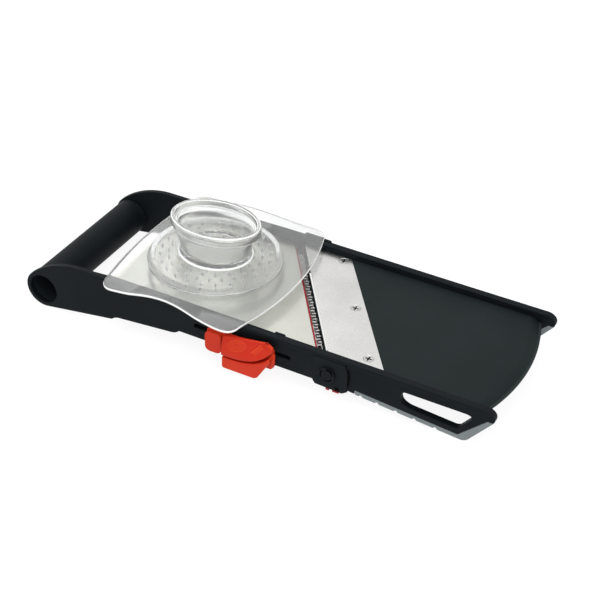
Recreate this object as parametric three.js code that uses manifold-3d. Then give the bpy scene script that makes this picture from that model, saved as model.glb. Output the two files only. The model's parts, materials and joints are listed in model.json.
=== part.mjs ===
// Adjustable mandoline slicer with a julienne comb and a clear hand guard.
//
// Every piece is modelled in the rail frame, in millimetres: X runs along the rails from the
// handle's axis to the output end, Y runs across, and Z = 0 is the top of the side rails. The
// near side is -Y. The last section tips the slicer until its two handle brackets and its two
// feet stand on the plane Z = 0, and centres it over the origin.

import * as THREE from 'three';
import { mergeVertices } from 'three/addons/utils/BufferGeometryUtils.js';
import Module from 'manifold-3d';

const wasm = await Module();
wasm.setup();

// ---------------------------------------------------------------- driving dimensions

const gap = 0.3; // between pieces that touch, or that are fixed to each other
const runGap = 0.35; // between pieces that run in each other
const margin = 5; // how far a cutting tool runs past what it cuts

// Side rails
const span = 128; // over the outer faces of the two rails
const railWall = 5.6;
const railDepth = 24.5;
const railEnd = 366; // from the handle's axis to the rails' output tips
const tipRound = 9; // length of the rounded upper corner at a rail's tip
const bracketWallShare = 0.75; // the rails are thinner round the handle
const bracketTaperStart = 46;
const bracketTaperEnd = 60;
const noseRadius = 15.4; // round end of a bracket
const shoulderRadius = 70; // large arc from the nose up to the rail's top
const soleSlope = 0.157; // of the bracket's straight lower edge
const heelX = 62; // end of that edge, where the first step up starts
const heelDrop = 35.6;
const heelStep = 3.1; // height of the first step
const heelStepLength = 6;
const hipX = 114; // where the second step starts
const hipDrop = 28;
const hipLength = 7;

// Hand window in each rail, near the output end
const windowLength = 53.5;
const windowInset = 15.3; // from its output corner to the rail's tip
const windowTop = 8.6; // below the rail's top
const windowStartDrop = 20.8;
const windowEndDrop = 23.3;

// Handle
const handleDrop = 30.1; // from the rail top down to the handle's axis
const handleRadius = 14.1;
const handleBore = 12;

// Feet
const footLength = 102.6; // from its start to the rail's tip
const soleLength = 80.1; // of its straight lower edge
const footCornerDepth = 31.9;
const footStartDepth = 25.43;
const footThickness = 3.6;
const tipDrop = 8.6; // below the rail top, where the foot ends at the tip
const tipSetback = 1.4; // of the foot's upper end from the rail's tip
const slantShare = 1.1; // the foot's thickness up the slant, measured level
const cornerShare = 0.6; // how much of it the inner corner is set back by

// Blade and the cutting gap
const plateDrop = 4.7; // the blade's top, below the rail top
const bladeThickness = 1;
const gapAngle = THREE.MathUtils.degToRad(34.2); // of the cutting gap, from the Y axis
const gapCentre = 195.8; // where the gap's middle line crosses Y = 0
const gapHalfWidth = 3.8; // square to the gap
const bladeWidthFar = 40.6; // along X
const bladeWidthNear = 43.1;
const bladeBevel = 3; // width of the ground edge
const throatWidth = 13; // open space under the blade behind its edge, for the slices
const screwReach = 32.9; // from the blade's cutting edge, along X
const screwSideFar = 5.2; // from the blade's far side
const screwMiddle = 2.5;
const screwSideNear = 11.3;
const screwHeadRadius = 3.7;
const screwHeadDepth = 2.2;
const screwShankRadius = 1.5;
const crossLength = 1.9; // half length of the cross recess
const crossWidth = 0.45; // half width of it
const crossDepth = 1.1;
const bossRadius = 4.2;
const bossLength = 12;
const bedThickness = 3.2;

// Runway and tray
const sliceThickness = 2; // the runway's step below the blade as stored
const runwayStart = 57;
const runwaySheet = 0.8;
const carrierSlab = 2.5;
const carrierSetback = 3; // of the moulding's front edge from the sheet's
const carrierRibEnd = 146;
const carrierRibDepth = 3;
const ribHalf = 1; // half thickness of the carrier's and the tray's ribs
const ribShare = 0.6; // how far out the side ribs stand, as a share of the half width
const trayThickness = 2.6;
const trayEndRadius = 165.5;
const trayLipWidth = 8;
const trayLipDepth = 4.8;
const trayLipLength = 40;
const trayRibDepth = 3.4;
const trayRibStart = 72; // from the rail's tip
const trayRibEnd = 14;

// Runway lift
const rodRadius = 2;
const rodPlaces = [78, 119];
const rodDrop = 16;
const rodPocketShare = 0.62; // depth of a rod's pocket, as a share of the rail's wall
const rampRatio = 0.12; // drop of the runway for each millimetre of slider travel
const slideBack = 16; // slider travel towards the handle
const slideOn = 18; // slider travel towards the output
const camBarThickness = 2.6;
const camBarTop = -11.5;
const camBarBottom = -22.5;
const camBarWall = 3; // left beyond the last slot
const linkStart = 103;
const linkLength = 10;
const linkThickness = 1.6;
const beamStart = 56;
const beamLength = 12;
const beamTop = -25;
const beamHeight = 5.4;
const lugHalfWidth = 2; // half width of the carrier's lugs, along the rods
const lugWall = 1.6; // under a rod
const lugPlaces = [-0.9, -0.33, 0.33, 0.9]; // shares of the carrier's half width

// Thickness slider
const slotStart = 134;
const slotEnd = 213;
const slotCentreDrop = 13.9;
const slotHeight = 3.6;
const stemStart = 152;
const stemEnd = 191;
const sliderStart = 146.4;
const sliderEnd = 200.5;
const sliderTop = -9.6;
const sliderBottom = -27.4;
const sliderBack = 2.4; // thickness of the slider's back plate
const hookReach = 3.4; // under the rail
const endBlockEnd = 160;
const endBlockProud = 3.2;
const endBlockRound = 3.4;
const gripStart = 162;
const gripBottom = -35.9;
const gripEnd = 202.2;
const gripCorner = 187; // where the grip's lower edge turns up
const gripSetback = 0.8; // of the grip's face behind the lever's
const leverStart = 161.6;
const leverEnd = 201.9;
const leverTop = -8.2; // at its left end
const leverPeak = { x: 196, z: -2.6 };
const leverShoulder = -5.6; // at its right end
const leverBottom = -24.2;
const leverSlit = 1.2; // between the lever and the grip at the lever's left end
const leverSlitGrowth = 0.9; // how much wider it is at the right end
const leverPivot = { x: 166, z: -16.5 };
const leverPinRadius = 1.2;
const leverPinWall = 1.6;
const leverReach = 9.3; // how far the lever stands out from the rail
const thumbSlope = { top: 1.6, topZ: -3, bottomZ: -20 }; // of the lever's thumb face, in Y and Z

// Julienne combs
const combLift = 4.6; // of either comb, from below the runway to above the blade
const finPitch = 3.4;
const finThickness = 0.9;
const finDepth = 3.4;
const finDrop = 0.8; // of the fins' tips below the runway
const combStrip = 0.5;
const carrierBar = 1.1;
const barDrop = 1.3; // of the carriers' bars below the runway
const carrierShelf = 1.1; // thickness of the coarse carrier's floor under the fins
const carrierBottom = -22;
const guideLength = 4; // of a comb guide, across the slicer
const guideWall = 1.1;
const guideTop = -11.5; // of its low wall on the runway's side
const legDepth = 3; // of the carriers' legs above the bottom of their bars
const legBefore = 1.2; // how far a leg stands out on each side of its bar's middle
const legAfter = 0.9;
const armTop = -25.2;
const armBottom = -27.5;
const armThickness = 1.1;
const armGap = 0.4;
const footBottom = -31.2;
const footDepth = 2.4; // of the carriers' feet, across the slicer
const fineFootBefore = 1.7; // how far the fine foot starts before the knob's axis
const fineFootLength = 2.6;
const coarseFootLength = 5;
const footSpacing = 2.6;
const armInset = 0.5; // of the outer arm from the rail's inner face

// Selector
const knobReach = 4.6; // of the knob's axis past the gap's end, at the comb guide
const knobDrop = 15.5;
const knobRadius = 6.2;
const knobProud = 1.1;
const knobShaftRadius = 3;
const knobShaftEnd = 3; // how far the shaft runs in past the rail's inner face
const housingBefore = 11.3; // of the knob's axis
const housingAfter = 15.7;
const housingTop = -3;
const housingDepth = 28.2;
const housingProud = 0.8;
const housingSkin = 2;
const housingSide = 3;
const camHalfWidth = 4.7;
const camHalfHeight = 4.1;
const camThickness = 3.2;
const clipThickness = 0.8;
const springLeaf = 0.6;
const springKnee = 1.5;

// Stop lug on the far rail
const lugStart = 157;
const lugLength = 23;
const lugProud = 3.6;
const lugDepth = 8;

// Hand guard
const guardX = 115; // centre of the disc and the cup
const guardFront = 53;
const guardBack = 185;
const guardCornerOver = 11.5; // how far the corners stand out past the rails
const guardWaistOver = 7;
const guardSheet = 2;
const discRadius = 51.5;
const discTopRadius = 48.8;
const discHeight = 7.2; // of its top above the rails
const discWall = 2;
const discSeat = 2.5; // width of the disc's wall over the plate
const spikeLength = 4.2;
const spikeRadius = 1.3;
const spikeRings = [
  { radius: 42, count: 24, turn: 0 }, { radius: 35.4, count: 24, turn: 0.5 },
  { radius: 28.8, count: 18, turn: 0 }, { radius: 22, count: 12, turn: 0.5 },
];
const cupHalfLength = 29.4;
const cupHalfWidth = 23.4;
const cupWall = 2.2;
const cupFlange = 1.2;
const cupRimHalfLength = 36;
const cupRimHalfWidth = 26;
const cupRimHeight = 8.2;
const cupTop = 36.4;

// ---------------------------------------------------------------- derived places

const outer = span / 2;
const inner = outer - railWall;
const bedHalf = inner - gap; // half width of what lies between the rails
const bracketWall = railWall * bracketWallShare;
const gapCos = Math.cos(gapAngle);
const gapSin = Math.sin(gapAngle);
const footStart = railEnd - footLength;
const footCorner = footStart + soleLength; // where the sole turns up to the slanted end
const slantX = railEnd - tipSetback;
const runwayTop = -plateDrop - sliceThickness;
const carrierSlabTop = runwayTop - runwaySheet - gap;
const camBarInner = bedHalf - gap - camBarThickness;
const bladeBottom = -plateDrop - bladeThickness;
const slotTop = -slotCentreDrop + slotHeight / 2;
const slotBottom = -slotCentreDrop - slotHeight / 2;
const sliderFace = -outer - runGap - sliderBack; // outer side of the slider's back plate
const leverBack = sliderFace - gap - runGap; // the lever's inner side
const leverFace = -outer - leverReach;
const guideOuter = camBarInner - gap; // the combs' guides stand between the cam bars
const guideInner = guideOuter - guideLength;
const finTop = runwayTop - finDrop;
const knobX = gapX(gapHalfWidth, -guideOuter) + knobReach;
const housingStart = knobX - housingBefore;
const housingEnd = knobX + housingAfter;
const guardCornerHalf = outer + guardCornerOver;
const guardWaistHalf = outer + guardWaistOver;
const footY0 = -outer - housingProud + housingSkin + gap; // outer side of the carriers' feet

// ---------------------------------------------------------------- materials

const black = { color: 0x23282a, roughness: 0.5, metalness: 0 };
const trayBlack = { color: 0x2c3232, roughness: 0.62, metalness: 0 };
const red = { color: 0xd9381f, roughness: 0.35, metalness: 0 };
const darkRed = { color: 0xa01622, roughness: 0.4, metalness: 0 };
const steel = { color: 0xd3d2cc, roughness: 0.28, metalness: 1 };
const rubber = { color: 0x777f82, roughness: 0.85, metalness: 0 };
const clear = { color: 0xeef1f1, roughness: 0.12, metalness: 0, transparent: true, opacity: 0.4 };

// ---------------------------------------------------------------- shape helpers

/** A closed geometry as a manifold solid. */
function solid(geometry) {
  const bare = geometry.index ? geometry.clone() : geometry;
  bare.deleteAttribute('normal');
  bare.deleteAttribute('uv');
  const merged = mergeVertices(bare, 1e-4);
  const mesh = new wasm.Mesh({
    numProp: 3,
    vertProperties: Float32Array.from(merged.attributes.position.array),
    triVerts: Uint32Array.from(merged.index.array),
  });
  return new wasm.Manifold(mesh);
}

/** The manifold solid back as a geometry. */
function toGeometry(body) {
  const mesh = body.getMesh();
  const geometry = new THREE.BufferGeometry();
  geometry.setAttribute('position', new THREE.BufferAttribute(mesh.vertProperties, 3));
  geometry.setIndex(new THREE.BufferAttribute(mesh.triVerts, 1));
  const flat = geometry.toNonIndexed();
  flat.computeVertexNormals();
  return flat;
}

function join(first, ...others) {
  return others.reduce((sum, body) => sum.add(body), first);
}

function cut(base, ...tools) {
  return tools.reduce((rest, tool) => rest.subtract(tool), base);
}

/** Box between two corners. */
function box(x0, x1, y0, y1, z0, z1) {
  const geometry = new THREE.BoxGeometry(x1 - x0, y1 - y0, z1 - z0);
  geometry.translate((x0 + x1) / 2, (y0 + y1) / 2, (z0 + z1) / 2);
  return solid(geometry);
}

/** Shape drawn in X and Z, as a wall from y0 to y1. */
function wall(shape, y0, y1, segments = 16) {
  const geometry = new THREE.ExtrudeGeometry(shape, {
    depth: y1 - y0, bevelEnabled: false, curveSegments: segments,
  });
  geometry.rotateX(Math.PI / 2);
  geometry.translate(0, y1, 0);
  return solid(geometry);
}

/** Shape drawn in X and Y, as a slab from z0 to z1. */
function slab(shape, z0, z1, segments = 16) {
  const geometry = new THREE.ExtrudeGeometry(shape, {
    depth: z1 - z0, bevelEnabled: false, curveSegments: segments,
  });
  geometry.translate(0, 0, z0);
  return solid(geometry);
}

/** Round bar along Y, centred at x and z. */
function bar(x, z, radius, y0, y1, sides = 24) {
  const geometry = new THREE.CylinderGeometry(radius, radius, y1 - y0, sides);
  geometry.translate(x, (y0 + y1) / 2, z);
  return solid(geometry);
}

/** Round post along Z, centred at x and y, that may taper from its foot to its head. */
function post(x, y, footR, headR, z0, z1, sides = 20) {
  const geometry = new THREE.CylinderGeometry(headR, footR, z1 - z0, sides);
  geometry.rotateX(Math.PI / 2);
  geometry.translate(x, y, (z0 + z1) / 2);
  return solid(geometry);
}

function polygon(points) {
  return new THREE.Shape(points.map(([a, b]) => new THREE.Vector2(a, b)));
}

/** Rectangle with rounded corners. */
function roundedRect(a0, a1, b0, b1, radius) {
  const shape = new THREE.Shape();
  shape.moveTo(a0 + radius, b0);
  shape.lineTo(a1 - radius, b0);
  shape.absarc(a1 - radius, b0 + radius, radius, -Math.PI / 2, 0);
  shape.absarc(a1 - radius, b1 - radius, radius, 0, Math.PI / 2);
  shape.absarc(a0 + radius, b1 - radius, radius, Math.PI / 2, Math.PI);
  shape.absarc(a0 + radius, b0 + radius, radius, Math.PI, Math.PI * 1.5);
  return shape;
}

function ellipse(x, halfLength, halfWidth) {
  const shape = new THREE.Shape();
  shape.absellipse(x, 0, halfLength, halfWidth, 0, Math.PI * 2);
  return shape;
}

/** X on the line at `across` from the gap's middle line, at a given Y. */
function gapX(across, y) {
  return gapCentre + (across - y * gapSin) / gapCos;
}

/** Strip that follows the gap, from one distance across it to another, between two Y values. */
function gapStrip(across0, across1, y0, y1) {
  return polygon([
    [gapX(across0, y0), y0], [gapX(across1, y0), y0],
    [gapX(across1, y1), y1], [gapX(across0, y1), y1],
  ]);
}

const pieces = [];

function addPiece(name, body, look) {
  const mesh = new THREE.Mesh(toGeometry(body), new THREE.MeshStandardMaterial(look));
  mesh.name = name;
  pieces.push(mesh);
}

// ---------------------------------------------------------------- side rails

/** Where the shoulder arc meets the straight top, and where it meets the nose. */
function shoulder() {
  const rise = handleDrop - shoulderRadius;
  const reach = Math.sqrt((shoulderRadius - noseRadius) ** 2 - rise ** 2);
  const angle = Math.atan2(-handleDrop + shoulderRadius, -reach);
  return { x: reach, angle };
}

/** Side view of a rail without its foot. */
function railProfile() {
  const top = shoulder();
  const soleAngle = -Math.PI / 2 + Math.atan(soleSlope);
  const cover = footThickness + gap; // what the rubber foot takes away
  const stepTop = heelDrop - heelStep;
  const shape = new THREE.Shape();
  shape.moveTo(top.x, 0);
  shape.absarc(top.x, -shoulderRadius, shoulderRadius, Math.PI / 2, top.angle, false);
  shape.absarc(0, -handleDrop, noseRadius, top.angle, soleAngle + Math.PI * 2, false);
  shape.lineTo(heelX, -heelDrop);
  shape.quadraticCurveTo(heelX + heelStepLength * 0.4, -stepTop - 0.5, heelX + heelStepLength, -stepTop);
  shape.lineTo(hipX, -hipDrop);
  shape.quadraticCurveTo(hipX + hipLength * 0.7, -hipDrop + 0.6, hipX + hipLength, -railDepth);
  shape.lineTo(footStart - margin, -railDepth);
  shape.lineTo(footStart - gap, -footStartDepth + gap);
  shape.lineTo(footStart - gap, -footStartDepth + cover);
  shape.lineTo(footCorner - cover * cornerShare, -footCornerDepth + cover);
  shape.lineTo(slantX - cover * slantShare, -tipDrop);
  shape.lineTo(slantX + gap, -tipDrop);
  shape.quadraticCurveTo(railEnd + tipRound / 15, -tipDrop * 0.42, railEnd - tipRound / 2, -0.9);
  shape.quadraticCurveTo(railEnd - tipRound * 0.7, 0, railEnd - tipRound, 0);
  return shape;
}

/** Long hand slot near the output end. */
function windowShape() {
  const end = railEnd - windowInset;
  const start = end - windowLength;
  const shape = new THREE.Shape();
  shape.moveTo(start + 4, -windowTop);
  shape.lineTo(end - 5.7, -windowTop);
  shape.quadraticCurveTo(end + 0.3, -windowTop - 0.2, end - 2.1, -windowTop - 4);
  shape.lineTo(end - 8.2, -windowEndDrop + 2.7);
  shape.quadraticCurveTo(end - 10.1, -windowEndDrop - 0.3, end - 13.7, -windowEndDrop);
  shape.lineTo(start + 8, -windowStartDrop);
  shape.quadraticCurveTo(start - 1, -windowStartDrop + 1.8, start + 0.4, -windowTop - 3.8);
  shape.quadraticCurveTo(start + 1, -windowTop - 0.2, start + 4, -windowTop);
  return shape;
}

/** Pocket in a rail's inner face where a lift rod's end rises and falls. */
function rodPocket(x, side) {
  const half = rodRadius + runGap;
  const up = -rodDrop + rampRatio * slideBack + half;
  const down = -rodDrop - rampRatio * slideOn - half;
  const deep = side * (inner + railWall * rodPocketShare);
  const open = side * (inner - margin);
  return box(x - half, x + half, Math.min(deep, open), Math.max(deep, open), down, up);
}

/** One plain rail; side is -1 for the near rail and 1 for the far one. */
function plainRail(side) {
  const y0 = side < 0 ? -outer : inner;
  const y1 = side < 0 ? -inner : outer;
  const nose = -noseRadius - margin;
  const thin = polygon([
    [nose, side * (outer - bracketWall)],
    [bracketTaperStart, side * (outer - bracketWall)],
    [bracketTaperEnd, side * inner],
    [bracketTaperEnd, side * (inner - margin)],
    [nose, side * (inner - margin)],
  ]);
  return cut(
    wall(railProfile(), y0, y1, 20),
    slab(thin, -handleDrop - noseRadius - margin, margin),
    bar(0, -handleDrop, handleBore, -outer - margin, outer + margin, 40),
    wall(windowShape(), -outer - margin, outer + margin, 8),
    ...rodPlaces.map((x) => rodPocket(x, side)),
  );
}

/** Near rail: slider slot and the selector's housing, hollow behind a thin skin. */
function nearSideRail() {
  const slot = roundedRect(slotStart, slotEnd, slotBottom, slotTop, slotHeight / 2 - 0.1);
  const chamfer = 2;
  const housing = polygon([
    [housingStart, housingTop], [housingEnd, housingTop],
    [housingEnd, -railDepth - 1], [housingEnd - 2 * chamfer, -housingDepth],
    [housingStart + chamfer, -housingDepth + 1], [housingStart, -railDepth],
  ]);
  const seat = polygon([ // room for the foot where the housing reaches over it
    [footStart - gap, -footStartDepth + footThickness + gap],
    [footCorner, -footCornerDepth + footThickness + gap],
    [footCorner, -housingDepth - margin], [footStart - gap, -housingDepth - margin],
  ]);
  const hollowTop = housingTop - housingSkin + 0.5;
  const hollowStart = housingStart + housingSide;
  const hollowEnd = housingEnd - housingSide;
  const face = -outer - housingProud;
  return cut(
    join(plainRail(-1), cut(wall(housing, face, -inner), wall(seat, face - margin, -inner + margin))),
    wall(slot, -outer - margin, -inner + margin, 6),
    box(hollowStart, hollowEnd, face + housingSkin, -inner + margin, -housingDepth - margin, hollowTop),
    bar(knobX, -knobDrop, knobShaftRadius + runGap, -outer - margin, -inner, 24),
  );
}

/** Far rail: a stop lug stands out from its outer face. */
function farSideRail() {
  const lug = roundedRect(lugStart, lugStart + lugLength, -lugDepth, -gap, 1.5);
  return join(plainRail(1), wall(lug, outer - railWall / 2, outer + lugProud, 4));
}

/** Rubber sole under a rail that turns up the slanted end. */
function footStrip(side) {
  const bend = 4; // length of the round between the sole and the slant
  const inside = -footCornerDepth + footThickness;
  const shape = new THREE.Shape();
  shape.moveTo(footStart, -footStartDepth);
  shape.lineTo(footCorner, -footCornerDepth);
  shape.quadraticCurveTo(footCorner + bend, -footCornerDepth + 0.2, footCorner + bend * 1.6, -footCornerDepth + bend);
  shape.lineTo(slantX, -tipDrop - gap);
  shape.lineTo(slantX - footThickness * slantShare - gap, -tipDrop - gap);
  shape.lineTo(footCorner - footThickness * cornerShare - gap, inside);
  shape.lineTo(footStart, -footStartDepth + footThickness);
  const y0 = side < 0 ? -outer : inner;
  return wall(shape, y0, y0 + railWall, 6);
}

// ---------------------------------------------------------------- handle

function handleTube() {
  const half = outer - bracketWall - gap;
  return cut(
    bar(0, -handleDrop, handleRadius, -half, half, 48),
    bar(0, -handleDrop, handleBore, -half - margin, half + margin, 40),
  );
}

/** Bar that ties the two rails together under the front of the runway. */
function frontCrossBeam() {
  const beam = roundedRect(beamStart, beamStart + beamLength, beamTop - beamHeight, beamTop, 1.5);
  return wall(beam, -bedHalf, bedHalf, 4);
}

// ---------------------------------------------------------------- blade, bed and tray

/** X of the blade's back edge at a given Y. */
function bladeBackX(y) {
  const share = (bedHalf - y) / (2 * bedHalf);
  const width = bladeWidthFar + share * (bladeWidthNear - bladeWidthFar);
  return gapX(gapHalfWidth, y) + width;
}

function bladeOutline(inset) {
  const half = bedHalf - inset;
  return polygon([
    [gapX(gapHalfWidth, half) + inset, half],
    [gapX(gapHalfWidth, -half) + inset, -half],
    [bladeBackX(-half) - inset, -half],
    [bladeBackX(half) - inset, half],
  ]);
}

const screwPlaces = [bedHalf - screwSideFar, screwMiddle, screwSideNear - bedHalf]
  .map((y) => ({ x: gapX(gapHalfWidth, y) + screwReach, y }));
const bossBottom = bladeBottom - bossLength;

/** Steel plate whose front edge, along the gap, is ground to a cutting edge. */
function bladePlate() {
  const edge = 0.15; // thickness left at the cutting edge
  const bevel = new THREE.Shape();
  bevel.moveTo(-margin, bladeBottom - 1);
  bevel.lineTo(bladeBevel, bladeBottom - 0.001);
  bevel.lineTo(edge, -plateDrop - edge);
  bevel.lineTo(-margin, -plateDrop - edge);
  const long = 2 * span;
  const grind = new THREE.ExtrudeGeometry(bevel, { depth: long, bevelEnabled: false });
  grind.rotateX(Math.PI / 2);
  grind.translate(0, long / 2, 0);
  grind.rotateZ(gapAngle);
  grind.translate(gapX(gapHalfWidth, 0), 0, 0);
  const holes = screwPlaces.map(({ x, y }) => post(
    x, y, screwShankRadius + gap, screwHeadRadius + gap, -plateDrop - screwHeadDepth, -plateDrop + 0.01,
  ));
  return cut(slab(bladeOutline(0), bladeBottom, -plateDrop), solid(grind), ...holes);
}

/** Bed under the blade, set back from its edge, with screw bosses and two comb guides. */
function bladeBed() {
  const top = bladeBottom - gap;
  const bottom = top - bedThickness;
  const front = gapHalfWidth + throatWidth;
  const half = bedHalf - 1;
  const sheet = polygon([
    [gapX(front, half), half], [gapX(front, -half), -half],
    [bladeBackX(-half) - 1, -half], [bladeBackX(half) - 1, half],
  ]);
  const guides = [-1, 1].map((side) => {
    const y0 = Math.min(side * guideInner, side * guideOuter);
    const y1 = Math.max(side * guideInner, side * guideOuter);
    const floor = carrierBottom - gap;
    const wallSide = -gapHalfWidth - guideWall;
    return cut(
      slab(gapStrip(wallSide, front + 2, y0, y1), floor - 2, top),
      slab(gapStrip(0.1 - gapHalfWidth, gapHalfWidth - 0.1, y0 - 1, y1 + 1), floor, top + 1),
      slab(gapStrip(wallSide - 1, 0, y0 - 1, y1 + 1), guideTop, top + 1),
    );
  });
  const bosses = screwPlaces.map(({ x, y }) => post(x, y, bossRadius, bossRadius, bossBottom, top));
  const bore = screwShankRadius + gap;
  const headFoot = -plateDrop - screwHeadDepth;
  const holes = screwPlaces.flatMap(({ x, y }) => [
    post(x, y, bore, bore, bossBottom + 1.5, top + 1, 16),
    post(x, y, bore, screwHeadRadius + gap, headFoot, -plateDrop, 20),
  ]);
  return cut(join(slab(sheet, bottom, top), ...guides, ...bosses), ...holes);
}

/** Countersunk screw with a cross recess. */
function bladeScrew({ x, y }) {
  const head = -plateDrop - 0.05;
  const neck = head - screwHeadDepth;
  const floor = head - crossDepth;
  return cut(
    join(
      post(x, y, screwShankRadius, screwHeadRadius, neck, head, 24),
      post(x, y, screwShankRadius, screwShankRadius, bossBottom + 3, neck + 0.1, 12),
    ),
    box(x - crossLength, x + crossLength, y - crossWidth, y + crossWidth, floor, head + 1),
    box(x - crossWidth, x + crossWidth, y - crossLength, y + crossLength, floor, head + 1),
  );
}

/** Outline of the tray's round output end, from +Y to -Y, at an inset. */
function trayEnd(shape, inset) {
  const centre = railEnd - gap - trayEndRadius;
  const radius = trayEndRadius - inset;
  const swing = Math.asin(bedHalf / radius);
  shape.absarc(centre, 0, radius, -swing, swing, false);
}

/** Smooth tray from the blade to the output end, with a turned-down lip and ribs below. */
function outputTray() {
  const plate = new THREE.Shape();
  plate.moveTo(bladeBackX(bedHalf) + gap, bedHalf);
  plate.lineTo(bladeBackX(-bedHalf) + gap, -bedHalf);
  trayEnd(plate, 0);
  const lipStart = railEnd - trayLipLength;
  const lip = new THREE.Shape();
  lip.moveTo(lipStart, bedHalf);
  lip.lineTo(lipStart, -bedHalf);
  trayEnd(lip, 0);
  const hollow = new THREE.Shape();
  hollow.moveTo(lipStart - margin, bedHalf);
  hollow.lineTo(lipStart - margin, -bedHalf);
  trayEnd(hollow, trayLipWidth);
  const bottom = -plateDrop - trayThickness;
  const turned = cut(
    slab(lip, -plateDrop - trayLipDepth, bottom + 0.2, 24),
    slab(hollow, -plateDrop - trayLipDepth - 1, bottom + 1, 24),
  );
  const ribs = [-ribShare, 0, ribShare].map((share) => box(
    railEnd - trayRibStart, railEnd - trayRibEnd,
    share * bedHalf - ribHalf, share * bedHalf + ribHalf, bottom - trayRibDepth, bottom + 0.2,
  ));
  return join(slab(plate, bottom, -plateDrop, 24), turned, ...ribs);
}

// ---------------------------------------------------------------- runway and its lift

function runwayPlate() {
  const edge = -gapHalfWidth;
  const outline = polygon([
    [runwayStart, -bedHalf], [gapX(edge, -bedHalf), -bedHalf],
    [gapX(edge, bedHalf), bedHalf], [runwayStart, bedHalf],
  ]);
  return slab(outline, runwayTop - runwaySheet, runwayTop);
}

/** Moulding that carries the steel runway and hangs on the two lift rods. */
function runwayCarrier() {
  const half = camBarInner - gap;
  const edge = -gapHalfWidth - guideWall - 2 * gap;
  const bottom = carrierSlabTop - carrierSlab;
  const start = runwayStart + carrierSetback;
  const outline = polygon([
    [start, -half], [gapX(edge, -half), -half],
    [gapX(edge, half), half], [start, half],
  ]);
  const lugBottom = -rodDrop - rodRadius - lugWall;
  const lugHalf = rodRadius + 2;
  const lugs = rodPlaces.flatMap((x) => lugPlaces.map((share) => box(
    x - lugHalf, x + lugHalf,
    share * half - lugHalfWidth, share * half + lugHalfWidth, lugBottom, bottom + 0.5,
  )));
  const ribs = [-ribShare, 0, ribShare].map((share) => box(
    start, carrierRibEnd, share * half - ribHalf, share * half + ribHalf,
    bottom - carrierRibDepth, bottom + 0.5,
  ));
  const bores = rodPlaces.map((x) => bar(x, -rodDrop, rodRadius + gap, -half - 1, half + 1, 20));
  return cut(join(slab(outline, bottom, carrierSlabTop), ...lugs, ...ribs), ...bores);
}

function liftRod(x) {
  const half = inner + railWall * rodPocketShare - gap;
  return bar(x, -rodDrop, rodRadius, -half, half, 16);
}

/** Bar beside a rail whose sloping slots lift the rods as it slides. */
function camBar(side, end) {
  const reach = rodRadius + runGap;
  const start = rodPlaces[0] - slideOn - reach - camBarWall;
  const slots = rodPlaces.map((x) => {
    const left = x - slideOn;
    const right = x + slideBack;
    const low = -rodDrop - rampRatio * slideOn;
    const high = -rodDrop + rampRatio * slideBack;
    const turn = Math.atan(rampRatio);
    const shape = new THREE.Shape();
    shape.absarc(right, high, reach, turn - Math.PI / 2, turn + Math.PI / 2, false);
    shape.absarc(left, low, reach, turn + Math.PI / 2, turn + Math.PI * 1.5, false);
    return wall(shape, -outer, outer, 6);
  });
  const y0 = side < 0 ? -camBarInner - camBarThickness : camBarInner;
  return cut(box(start, end, y0, y0 + camBarThickness, camBarBottom, camBarTop), ...slots);
}

/** Flat link under the runway that makes the two cam bars slide together. */
function camCrossLink() {
  const half = camBarInner + camBarThickness;
  const top = camBarBottom - gap;
  return slab(roundedRect(linkStart, linkStart + linkLength, -half, half, 2), top - linkThickness, top, 4);
}

// ---------------------------------------------------------------- thickness slider

/** Lower edge of the lever, or the grip's upper edge a slit below it, as a curve to the right. */
function slitCurve(shape, drop) {
  shape.lineTo(leverStart, leverBottom - drop);
  shape.quadraticCurveTo(
    leverPeak.x - 5, leverBottom - 1.2 - drop * 1.3,
    leverEnd - 0.6 + drop * 0.2, leverShoulder - 3.2 - drop * (1 + leverSlitGrowth),
  );
}

/** Slider: back plate, end block, lower grip, hook under the rail and stem in the slot. */
function sliderBody() {
  const back = -outer - runGap;
  const plateShape = roundedRect(sliderStart, sliderEnd, sliderBottom, sliderTop, 2);
  const endBlock = roundedRect(sliderStart, endBlockEnd, sliderBottom, sliderTop - 0.4, endBlockRound);
  const grip = new THREE.Shape();
  grip.moveTo(gripStart, gripBottom + 1.8);
  slitCurve(grip, leverSlit);
  grip.quadraticCurveTo(gripEnd, -14.6, gripEnd - 1.2, -17.6);
  grip.lineTo(gripCorner + 5.4, gripBottom + 3.4);
  grip.quadraticCurveTo(gripCorner + 3.6, gripBottom, gripCorner, gripBottom);
  grip.lineTo(gripStart + 1.8, gripBottom);
  grip.quadraticCurveTo(gripStart, gripBottom, gripStart, gripBottom + 1.8);
  const stem = roundedRect(stemStart, stemEnd, slotBottom + runGap, slotTop - runGap, 1.2);
  const hook = box(
    sliderStart + 4, sliderEnd - 1, sliderFace, -outer + hookReach, sliderBottom, -railDepth - runGap,
  );
  const inside = sliderFace + 0.5;
  return join(
    wall(plateShape, sliderFace, back, 4),
    wall(endBlock, sliderFace - endBlockProud, inside, 5),
    wall(grip, leverFace + gripSetback, inside, 8),
    wall(stem, inside, -bedHalf - gap, 4),
    bar(leverPivot.x, leverPivot.z, leverPinRadius + leverPinWall, sliderFace - gap, inside, 20),
    hook,
  );
}

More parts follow.
